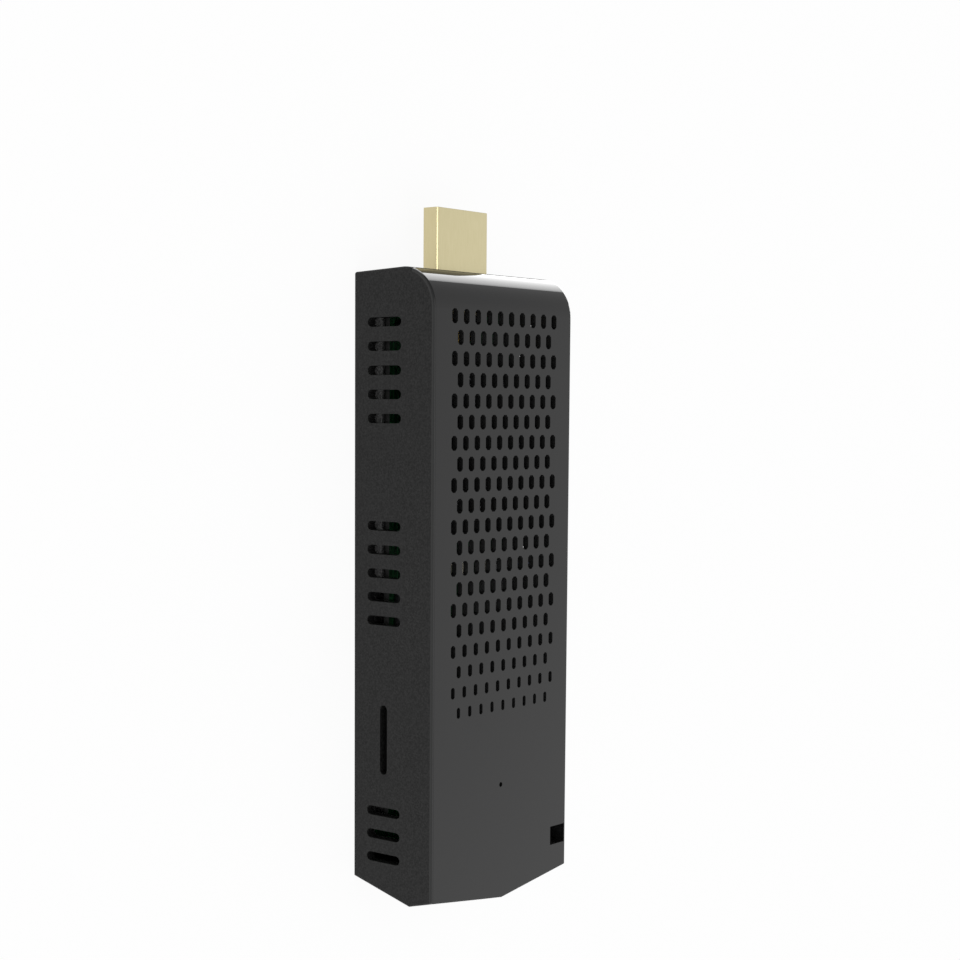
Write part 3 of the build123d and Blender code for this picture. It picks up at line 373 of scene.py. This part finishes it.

# %% [markdown]
# ## Boards
# A board is glass laminate under a green solder mask, and its copper shows through as faintly
# lighter tracks. Its edges are coloured nearly black, as the vents show them.
# Bricks laid in rows give the tracks, and the way that the surface faces tells the edges.

# %% Mask the boards
WEAVE_MM = 0.5
TRACK_DEPTH_MM = 0.02


def solder_mask(name, mask, track, pitch_mm):
    """A masked board with tracks at this pitch, a faint weave and nearly black edges."""
    material, tree, shader, place = finish(name, roughness=0.4, level=0.2)
    tracks = node(tree, "ShaderNodeTexBrick", {"offset": 0.37}, {
        "Vector": place, "Scale": 1.0,
        "Color1": linear(mask), "Color2": linear(mask), "Mortar": linear(track),
        "Mortar Size": pitch_mm * MM / 6, "Mortar Smooth": 0.2,
        "Brick Width": 5 * pitch_mm * MM, "Row Height": pitch_mm * MM})
    weave = node(tree, "ShaderNodeTexNoise", inputs={"Vector": place, "Scale": per_mm(WEAVE_MM)})
    shade = node(tree, "ShaderNodeValToRGB", inputs={"Fac": weave},
                 stops=((0.3, "C8C8C8"), (0.7, "FFFFFF")))
    masked = node(tree, "ShaderNodeMix", {"data_type": "RGBA", "blend_type": "MULTIPLY"}, {
        "Factor": 0.3, "A": tracks, "B": shade})
    # The edges, the faces that look neither up nor down, are coloured nearly black.
    sawn = node(tree, "ShaderNodeValToRGB", inputs={"Fac": weave},
                stops=((0.35, "0A0A0A"), (0.65, "161716")))
    upright = node(tree, "ShaderNodeMath", {"operation": "ABSOLUTE"}, {0: facing(tree)["Z"]})
    flat = node(tree, "ShaderNodeMath", {"operation": "GREATER_THAN"}, {0: upright, 1: 0.5})
    whole = node(tree, "ShaderNodeMix", {"data_type": "RGBA"}, {
        "Factor": flat, "A": sawn, "B": masked})
    raised = node(tree, "ShaderNodeBump", inputs={
        "Height": tracks.outputs["Fac"], "Distance": TRACK_DEPTH_MM * MM})
    feed(tree, shader, {"Base Color": whole, "Normal": raised})
    return material


board_mask = solder_mask("laminate_green_mask", "0C3D1E", "1B5A31", pitch_mm=1.2)
print("board", board_mask.name)

# %% [markdown]
# ## Clear pipe
# The light pipe is moulded acrylic, which lets the lamp's light through and bends it a little.
# Its faint waves come from the way the melt flowed into the tool.

# %% Mould the clear pipe
FLOW_MM = 1.5
FLOW_DEPTH_MM = 0.003
clear_acrylic, tree, shader, place = finish("acrylic_clear_pipe", roughness=0.08, ior=1.49)
flow = node(tree, "ShaderNodeTexNoise", inputs={"Vector": place, "Scale": per_mm(FLOW_MM)})
waves = node(tree, "ShaderNodeBump", inputs={"Height": flow, "Distance": FLOW_DEPTH_MM * MM})
feed(tree, shader, {
    "Base Color": linear("F4F6F6"), "Transmission Weight": 0.95, "Normal": waves})
print("clear", clear_acrylic.name)

# %% [markdown]
# ## Dress the solids
# A solid whose shape is right stays as it is and only gets its finish.

# %% Give every solid its finish
finishes = {
    "rear_housing": housing_plastic,
    "front_cover": cover_plastic,
    "power_button": button_plastic,
    "hdmi_plug_shell": plug_gold,
    "hdmi_plug_insert": insulator_black,
    "hdmi_contacts": contact_gold,
    "usb3_contacts": contact_gold,
    "usb2_contacts": contact_gold,
    "card_contacts": contact_gold,
    "main_board": board_mask,
    "antenna_board": board_mask,
    "board_screws": screw_steel,
    "sink_screws": screw_steel,
    "fan_screws": screw_steel,
    "fan_shaft": bright_steel,
    "clock_crystal": bright_steel,
    "radio_module": bright_steel,
    "usb3_shell": bright_steel,
    "usb2_shell": bright_steel,
    "power_port_shell": bright_steel,
    "card_socket_shell": bright_steel,
    "processor": chip_epoxy,
    "memory_chips": chip_epoxy,
    "storage_chip": chip_epoxy,
    "power_controller": chip_epoxy,
    "power_inductors": inductor_powder,
    "board_capacitors": capacitor_ceramic,
    "thermal_pad": pad_silicone,
    "heat_sink": sink_alloy,
    "fan_frame": fan_plastic,
    "fan_rotor": fan_plastic,
    "fan_bearing": bearing_bronze,
    "fan_stator": winding_copper,
    "fan_magnet": ferrite_magnet,
    "fan_connector": insulator_white,
    "fan_lead": lead_vinyl,
    "antenna_lead": lead_vinyl,
    "usb3_tongue": insulator_blue,
    "usb2_tongue": insulator_black,
    "power_port_tongue": insulator_black,
    "card_socket_base": insulator_black,
    "switch_plunger": insulator_white,
    "button_switch": insulator_black,
    "status_led": lamp_resin,
    "light_pipe": clear_acrylic,
}
for name, material in finishes.items():
    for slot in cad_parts[name].material_slots:
        slot.material = material
print("dressed", len(finishes), "of", len(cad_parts))

# %% [markdown]
# ## Finer pieces
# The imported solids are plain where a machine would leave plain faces. A few of them are now
# replaced by pieces with the detail of the real thing: screws with threads and a cross in the
# head, a plug with a rolled mouth and a seam, sockets with sprung fingers, and chips with eased
# edges. Each piece is made where its solid is, rides on the same body, and hides that solid.

# %% Select, weld, join and cut
WELD = 0.0005 * MM
SHARP = math.radians(30)


def only(piece=None):
    """Leave only this piece selected and active."""
    if bpy.context.object and bpy.context.object.mode != "OBJECT":
        bpy.ops.object.mode_set(mode="OBJECT")
    bpy.ops.object.select_all(action="DESELECT")
    if piece:
        piece.select_set(True)
        bpy.context.view_layer.objects.active = piece


def close_up(piece):
    """Weld the piece, and turn its faces outwards."""
    only(piece)
    bpy.ops.object.mode_set(mode="EDIT")
    bpy.ops.mesh.select_all(action="SELECT")
    bpy.ops.mesh.remove_doubles(threshold=WELD)
    bpy.ops.mesh.normals_make_consistent(inside=False)
    bpy.ops.object.mode_set(mode="OBJECT")


def join(pieces, name):
    """Make one piece of several, with its origin at the frame's origin."""
    only(pieces[0])
    for piece in pieces:
        piece.select_set(True)
    bpy.ops.object.join()
    piece = bpy.context.object
    piece.name = name
    bpy.ops.object.transform_apply(location=True, rotation=True, scale=True)
    return piece


def cutter(low, high):
    """A block between two corners in millimetres, to cut with."""
    only()
    middle = [(a + b) / 2 * MM for a, b in zip(low, high)]
    size = [(b - a) * MM for a, b in zip(low, high)]
    bpy.ops.mesh.primitive_cube_add(size=1, location=middle, scale=size)
    return bpy.context.object


def cut(piece, tool):
    """Take the tool's volume out of the piece, and remove the tool."""
    only(piece)
    boolean = piece.modifiers.new("cut", "BOOLEAN")
    boolean.operation = "DIFFERENCE"
    boolean.solver = "EXACT"
    boolean.object = tool
    bpy.ops.object.modifier_apply(modifier=boolean.name)
    bpy.data.objects.remove(tool)


print("a weld closes gaps of", WELD / MM, "mm")


# %% Copy a solid and round its edges
def welded_copy(node_name, name):
    """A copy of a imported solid's mesh, with its facets welded into whole faces."""
    piece = bpy.data.objects.new(name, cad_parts[node_name].data.copy())
    scene.collection.objects.link(piece)
    close_up(piece)
    bpy.ops.object.mode_set(mode="EDIT")
    bpy.ops.mesh.select_all(action="SELECT")
    bpy.ops.mesh.dissolve_limited(angle_limit=math.radians(0.5))
    bpy.ops.object.mode_set(mode="OBJECT")
    return piece


def ease(piece, chosen, width_mm, segments=2):
    """Round the sharp edges whose middle, in millimetres, the function chosen accepts."""
    only(piece)
    mesh = bmesh.new()
    mesh.from_mesh(piece.data)
    picked = 0
    for face in mesh.faces:
        face.select = False
    for edge in mesh.edges:
        edge.select = False
        if len(edge.link_faces) == 2 and edge.calc_face_angle() > SHARP:
            if chosen((edge.verts[0].co + edge.verts[1].co) / 2 / MM):
                edge.select = True
                picked += 1
    mesh.to_mesh(piece.data)
    mesh.free()
    bpy.ops.object.mode_set(mode="EDIT")
    bpy.ops.mesh.select_mode(type="EDGE")
    bpy.ops.mesh.bevel(offset=width_mm * MM, segments=segments, affect="EDGES", clamp_overlap=True)
    bpy.ops.object.mode_set(mode="OBJECT")
    return picked


def corners(node_name):
    """The lowest and highest corner of a node at rest, in millimetres."""
    return [[v / MM for v in corner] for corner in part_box(node_name)]


print("the plug ends at", [round(v, 2) for v in corners("hdmi_plug_shell")[1]])


# %% Find a group's solids, and put a piece in a node's place
def islands(node_name):
    """The lowest and highest corners, in millimetres, of each separate solid, in order of X."""
    mesh = bmesh.new()
    mesh.from_mesh(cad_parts[node_name].data)
    bmesh.ops.remove_doubles(mesh, verts=mesh.verts, dist=WELD)
    left = set(mesh.verts)
    found = []
    while left:
        reached = [left.pop()]
        for vertex in reached:
            for edge in vertex.link_edges:
                other = edge.other_vert(vertex)
                if other in left:
                    left.remove(other)
                    reached.append(other)
        low = [min(v.co[i] for v in reached) / MM for i in range(3)]
        high = [max(v.co[i] for v in reached) / MM for i in range(3)]
        found.append((low, high))
    mesh.free()
    return sorted(found)


def wear(piece, node_name, body="case"):
    """Give the piece its finish and its body, and hide the solid that it stands for."""
    piece.data.materials.clear()
    piece.data.materials.append(finishes[node_name])
    only(piece)
    bpy.ops.object.shade_smooth_by_angle(angle=SHARP)
    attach(piece, body)
    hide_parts(node_name)


print("fan screws stand at", [[round(v, 1) for v in low] for low, high in islands("fan_screws")])


# %% [markdown]
# ## Screws
# A screw starts as one round face at its tip. The face is extruded a little and widened, then
# extruded and narrowed again, once for each turn of the thread, and the last extrusions make the
# head with its rounded crown. Two thin blocks then cut the cross.

# %% Model the screws
HEAD_HEIGHT = {"fan_screws": 0.8, "board_screws": 0.9, "sink_screws": 0.9}
UPSIDE_DOWN = ("sink_screws",)
SIDES = 20
SHANK_RADIUS = 0.8
TURN = 0.42                          # height of one turn, fitted to the shank's length
CREST_AT, ROOT_AT = 0.45, 0.95       # heights of the crest and the root, as shares of a turn
TIP_SHARE, ROOT_SHARE = 0.55, 0.8    # radii of the tip and the root, as shares of the shank's
UNDERSIDE = 0.001                    # the head's underside rises by this much, so it is flat
RIM_AT, SHOULDER_AT = 0.55, 0.82     # heights on the head, as shares of its height
SHOULDER_SHARE, CROWN_SHARE = 0.9, 0.68
CROSS_SHARE, CROSS_HALF_WIDTH = 0.52, 0.16
CROSS_DEPTH_SHARE, CLEAR = 0.6, 0.1  # the cutter's depth in the head, and its reach over it


def screw(x, y, tip, seat, crown, head_radius):
    """A cross headed screw that points from its crown to its tip, sizes in millimetres."""
    up = 1 if crown > tip else -1
    turns = round(abs(seat - tip) / TURN)
    pitch = (seat - tip) / turns
    steps = [(tip, SHANK_RADIUS * TIP_SHARE)]
    for turn in range(turns):
        steps.append((tip + pitch * (turn + CREST_AT), SHANK_RADIUS))
        steps.append((tip + pitch * (turn + ROOT_AT), SHANK_RADIUS * ROOT_SHARE))
    rise = crown - seat
    steps += [
        (seat, SHANK_RADIUS),
        (seat + UNDERSIDE * up, head_radius),
        (seat + rise * RIM_AT, head_radius),
        (seat + rise * SHOULDER_AT, head_radius * SHOULDER_SHARE),
        (crown, head_radius * CROWN_SHARE),
    ]
    only()
    bpy.ops.mesh.primitive_circle_add(
        vertices=SIDES, radius=steps[0][1] * MM, fill_type="NGON",
        location=(x * MM, y * MM, tip * MM))
    piece = bpy.context.object
    bpy.ops.object.mode_set(mode="EDIT")
    bpy.ops.mesh.select_all(action="SELECT")
    for (level, radius), (next_level, next_radius) in zip(steps, steps[1:]):
        bpy.ops.mesh.extrude_region_move(
            TRANSFORM_OT_translate={"value": (0, 0, (next_level - level) * MM)})
        ratio = next_radius / radius
        bpy.ops.transform.resize(
            value=(ratio, ratio, 1), center_override=(x * MM, y * MM, next_level * MM))
    bpy.ops.object.mode_set(mode="OBJECT")
    close_up(piece)
    arm = head_radius * CROSS_SHARE
    low, high = sorted((crown - rise * CROSS_DEPTH_SHARE, crown + CLEAR * up))
    for reach_x, reach_y in ((arm, CROSS_HALF_WIDTH), (CROSS_HALF_WIDTH, arm)):
        cut(piece, cutter((x - reach_x, y - reach_y, low), (x + reach_x, y + reach_y, high)))
    return piece


for group, head_height in HEAD_HEIGHT.items():
    made = []
    for low, high in islands(group):
        x, y = (low[0] + high[0]) / 2, (low[1] + high[1]) / 2
        if group in UPSIDE_DOWN:
            tip, crown, seat = high[2], low[2], low[2] + head_height
        else:
            tip, crown, seat = low[2], high[2], high[2] - head_height
        made.append(screw(x, y, tip, seat, crown, (high[0] - low[0]) / 2))
    count = len(made)
    piece = join(made, group + "_threaded")
    wear(piece, group)
    print(piece.name, count, "screws,", len(piece.data.polygons), "faces")

# %% [markdown]
# ## Plug
# The plug's shell is folded from sheet, so its mouth is rolled and its underside has the seam where
# the sheet's edges meet.

# %% Model the plug's shell
AT_THE_END = 0.01            # an edge this near an end counts as part of it
MOUTH_ROUNDING = 0.13
SEAM_HALF_WIDTH, SEAM_DEPTH = 0.04, 0.12
BEYOND = 1                   # how far the cutter reaches past the shell
plug = welded_copy("hdmi_plug_shell", "hdmi_plug_folded")
plug_low, plug_high = corners("hdmi_plug_shell")
rolled = ease(
    plug, lambda middle: middle.x > plug_high[0] - AT_THE_END, MOUTH_ROUNDING, segments=3)
cut(plug, cutter((plug_low[0] - BEYOND, -SEAM_HALF_WIDTH, plug_low[2] - BEYOND),
                 (plug_high[0] + BEYOND, SEAM_HALF_WIDTH, plug_low[2] + SEAM_DEPTH)))
wear(plug, "hdmi_plug_shell")
print("rolled", rolled, "edges of the plug's mouth")

# %% [markdown]
# ## Socket shells
# A USB socket's shell has two windows in its floor and two in its roof. In each stands a finger,
# bent inwards, that grips the plug. A finger is a narrow strip extruded in four short bends.

# %% Model the socket shells
SHEET = 0.3
SOCKET_ROUNDING = 0.1
FINGER_FROM_MIDDLE = 3.0
FINGER_WIDTH, FINGER_LENGTH, FINGER_SHEET = 1.7, 5.9, 0.2
FINGER_ROOT = 0.4
BENDS = ((0.35, 0.2), (0.3, 0.22), (0.15, 0.0), (0.16, -0.2))    # shares of length, and inwards
WINDOW_FROM_MOUTH, WINDOW_LENGTH = 1.6, 6.0
WINDOW_HALF_WIDTH, WINDOW_HALF_DEPTH = 1.15, 0.4
GAP = 0.2                            # from the window's front to the finger's tip


def finger(x, mouth, wall, inward):
    """A sprung strip that leaves the wall at its rear and bows inwards towards the mouth."""
    only()
    middle = mouth + FINGER_LENGTH + FINGER_ROOT / 2
    bpy.ops.mesh.primitive_cube_add(
        size=1, location=(x * MM, middle * MM, wall * MM),
        scale=(FINGER_WIDTH * MM, FINGER_ROOT * MM, FINGER_SHEET * MM))
    strip = bpy.context.object
    bpy.ops.object.transform_apply(location=True, rotation=True, scale=True)
    front = min(strip.data.polygons, key=lambda face: face.center.y).index
    bpy.ops.object.mode_set(mode="EDIT")
    bpy.ops.mesh.select_mode(type="FACE")
    bpy.ops.mesh.select_all(action="DESELECT")
    bpy.ops.object.mode_set(mode="OBJECT")
    strip.data.polygons[front].select = True
    bpy.ops.object.mode_set(mode="EDIT")
    for along, bow in BENDS:
        bpy.ops.mesh.extrude_region_move(TRANSFORM_OT_translate={
            "value": (0, -along * FINGER_LENGTH * MM, inward * bow * MM)})
    bpy.ops.object.mode_set(mode="OBJECT")
    return strip


def sprung_shell(node_name):
    """A socket's shell with a rounded mouth, four windows and a finger in each."""
    low, high = corners(node_name)
    shell = welded_copy(node_name, node_name + "_sprung")
    ease(shell, lambda middle: middle.y < low[1] + AT_THE_END, SOCKET_ROUNDING)
    middle = (low[0] + high[0]) / 2
    mouth = low[1] + WINDOW_FROM_MOUTH
    strips = []
    for x in (middle - FINGER_FROM_MIDDLE, middle + FINGER_FROM_MIDDLE):
        for level, inward in ((low[2] + SHEET / 2, 1), (high[2] - SHEET / 2, -1)):
            cut(shell, cutter(
                (x - WINDOW_HALF_WIDTH, mouth, level - WINDOW_HALF_DEPTH),
                (x + WINDOW_HALF_WIDTH, mouth + WINDOW_LENGTH, level + WINDOW_HALF_DEPTH)))
            strips.append(finger(x, mouth + GAP, level, inward))
    shell = join([shell] + strips, node_name + "_sprung")
    wear(shell, node_name)
    return shell


for node_name in ("usb3_shell", "usb2_shell"):
    print(node_name, len(sprung_shell(node_name).data.polygons), "faces")

# %% [markdown]
# ## Chips, coils and the fan's hub
# Moulded and pressed parts leave their tools with eased edges. The same rounding serves them all:
# only the edges of upward faces are taken, so that each part still sits flat on the board.

# %% Ease the upper edges
for node_name, width, body in (
        ("processor", 0.12, "case"), ("memory_chips", 0.08, "case"), ("storage_chip", 0.08, "case"),
        ("power_controller", 0.06, "case"), ("power_inductors", 0.25, "case"),
        ("fan_rotor", 0.2, "rotor")):
    piece = welded_copy(node_name, node_name + "_eased")
    top = corners(node_name)[1][2]
    eased = ease(piece, lambda middle: middle.z > top - AT_THE_END, width)
    wear(piece, node_name, body)
    print(piece.name, "eased", eased, "edges")

# %% [markdown]
# ## Floor
# The stick lies on a white table that fills the picture. White paper under soft light would
# come out grey where the stick shades it, so for the eye, for mirrors and for glass most of its
# light is its own white, and the rest is the paper's, which keeps a faint soft shadow.

# %% Lay the floor
FIBRE_MM = 2.0
OWN_WHITE = 0.93
TABLE_SIZE = 6.0

paper_white = bpy.data.materials.new("paper_white_table")
paper_white.use_nodes = True
tree = paper_white.node_tree
tree.nodes.clear()
place = node(tree, "ShaderNodeTexCoord").outputs["Object"]
fibre = node(tree, "ShaderNodeTexNoise", inputs={"Vector": place, "Scale": per_mm(FIBRE_MM)})
tone = node(tree, "ShaderNodeValToRGB", inputs={"Fac": fibre},
            stops=((0.0, "F2F2F2"), (1.0, "F8F8F8")))
paper = node(tree, "ShaderNodeBsdfDiffuse", inputs={"Color": tone})
white = node(tree, "ShaderNodeEmission", inputs={"Color": linear("FFFFFF"), "Strength": 1.0})
path = node(tree, "ShaderNodeLightPath").outputs
seen = path["Is Camera Ray"]
for ray in ("Is Glossy Ray", "Is Transmission Ray"):
    seen = node(tree, "ShaderNodeMath", {"operation": "MAXIMUM"}, {0: seen, 1: path[ray]})
share = node(tree, "ShaderNodeMath", {"operation": "MULTIPLY"}, {0: seen, 1: OWN_WHITE})
mixed = node(tree, "ShaderNodeMixShader", inputs={"Fac": share, 1: paper, 2: white})
node(tree, "ShaderNodeOutputMaterial", inputs={"Surface": mixed})

only()
bpy.ops.mesh.primitive_plane_add(size=TABLE_SIZE, location=(0, 0, 0))
table = bpy.context.object
table.name = "table"
table.data.materials.append(paper_white)
print("table", table.dimensions)

# %% [markdown]
# ## Tent
# The picture was taken in a white tent: light comes evenly from all around, a little stronger
# towards the stick's tip. The tent's brightness follows the direction that is looked in. To
# the eye it is plain white, as the table is.

# %% Put up the tent
BRIGHTEST_TOWARDS = (-1.0, 0.0, -0.35)
DIM, BRIGHT = 0.45, 1.49
FADE = 0.9

world = bpy.data.worlds.new("tent")
scene.world = world
world.use_nodes = True
tree = world.node_tree
heading = node(tree, "ShaderNodeTexCoord").outputs["Generated"]
slope = node(tree, "ShaderNodeVectorMath", {"operation": "DOT_PRODUCT"}, {
    0: heading, 1: BRIGHTEST_TOWARDS})
glow = node(tree, "ShaderNodeMapRange", inputs={
    "Value": slope, "From Min": -FADE, "From Max": FADE, "To Min": DIM, "To Max": BRIGHT})
eye_sees = node(tree, "ShaderNodeLightPath").outputs["Is Camera Ray"]
strength = node(tree, "ShaderNodeMix", inputs={"Factor": eye_sees, "A": glow, "B": 1.0})
feed(tree, tree.nodes["Background"], {"Color": linear("FFFFFF"), "Strength": strength})
print("tent from", DIM, "to", BRIGHT)

# %% [markdown]
# ## Lamps
# A bright strip of floor off the plug end is mirrored in the cover's rounded end, as a band
# whose lower edge is sharp. Two soft lamps serve the plug alone, and one from above serves all.
# The strip lights only the cover, so that it leaves the table and the sides as they are.


# %% Set the lamps
def panel(name, centre, towards, width, height, radiance, colour="FFFFFF"):
    """A soft rectangular lamp, as bright as radiance says, where 1 is white. Millimetres."""
    lamp = bpy.data.lights.new(name, "AREA")
    lamp.shape = "RECTANGLE"
    lamp.size = width * MM
    lamp.size_y = height * MM
    lamp.energy = radiance * math.pi * width * height * MM * MM
    lamp.color = linear(colour)[:3]
    made = bpy.data.objects.new(name, lamp)
    scene.collection.objects.link(made)
    made.location = Vector(centre) * MM
    aim = (Vector(towards) - Vector(centre)).normalized()
    made.rotation_euler = aim.to_track_quat("-Z", "Y").to_euler()
    made.visible_camera = False
    return made


PLUG_MIDDLE = (56, 0, 6)
top_panel = panel("top_panel", (0, 150, 700), (0, 0, 0), 700, 500, 0.6)
floor_strip = panel("floor_strip", (120, -100, 13), (120, -100, 100), 142, 240, 1.0)
plug_panel = panel("plug_panel", (8, -390, 330), PLUG_MIDDLE, 500, 400, 0.26, "E0ECFF")
edge_panel = panel("edge_panel", (8, 320, 400), PLUG_MIDDLE, 300, 300, 2.5)

# The strip faces up, and rises a little away from the stick.
STRIP_SLOPE = math.radians(-10)
floor_strip.rotation_euler = (math.pi, STRIP_SLOPE, 0)
# It is nearly twice as bright at its far side.
FAR_SIDE, NEAR_SIDE = 3.0, 1.7
floor_strip.data.use_nodes = True
tree = floor_strip.data.node_tree
spot = node(tree, "ShaderNodeNewGeometry").outputs["Parametric"]
along = node(tree, "ShaderNodeSeparateXYZ", inputs={"Vector": spot}).outputs["X"]
fade = node(tree, "ShaderNodeMapRange", inputs={
    "Value": along, "From Min": 0.0, "From Max": 1.0, "To Min": FAR_SIDE, "To Max": NEAR_SIDE})
feed(tree, tree.nodes["Emission"], {"Strength": fade})

for lamp, piece in (
        (floor_strip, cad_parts["front_cover"]), (plug_panel, plug), (edge_panel, plug)):
    lit = bpy.data.collections.new(lamp.name + "_lights")
    lit.objects.link(piece)
    lamp.light_linking.receiver_collection = lit
print("lamps", [lamp.name for lamp in (top_panel, floor_strip, plug_panel, edge_panel)])

# %% [markdown]
# ## Finish
# The colours are shown as they are written.

# %% Colour and the last line
scene.view_settings.view_transform = "Standard"
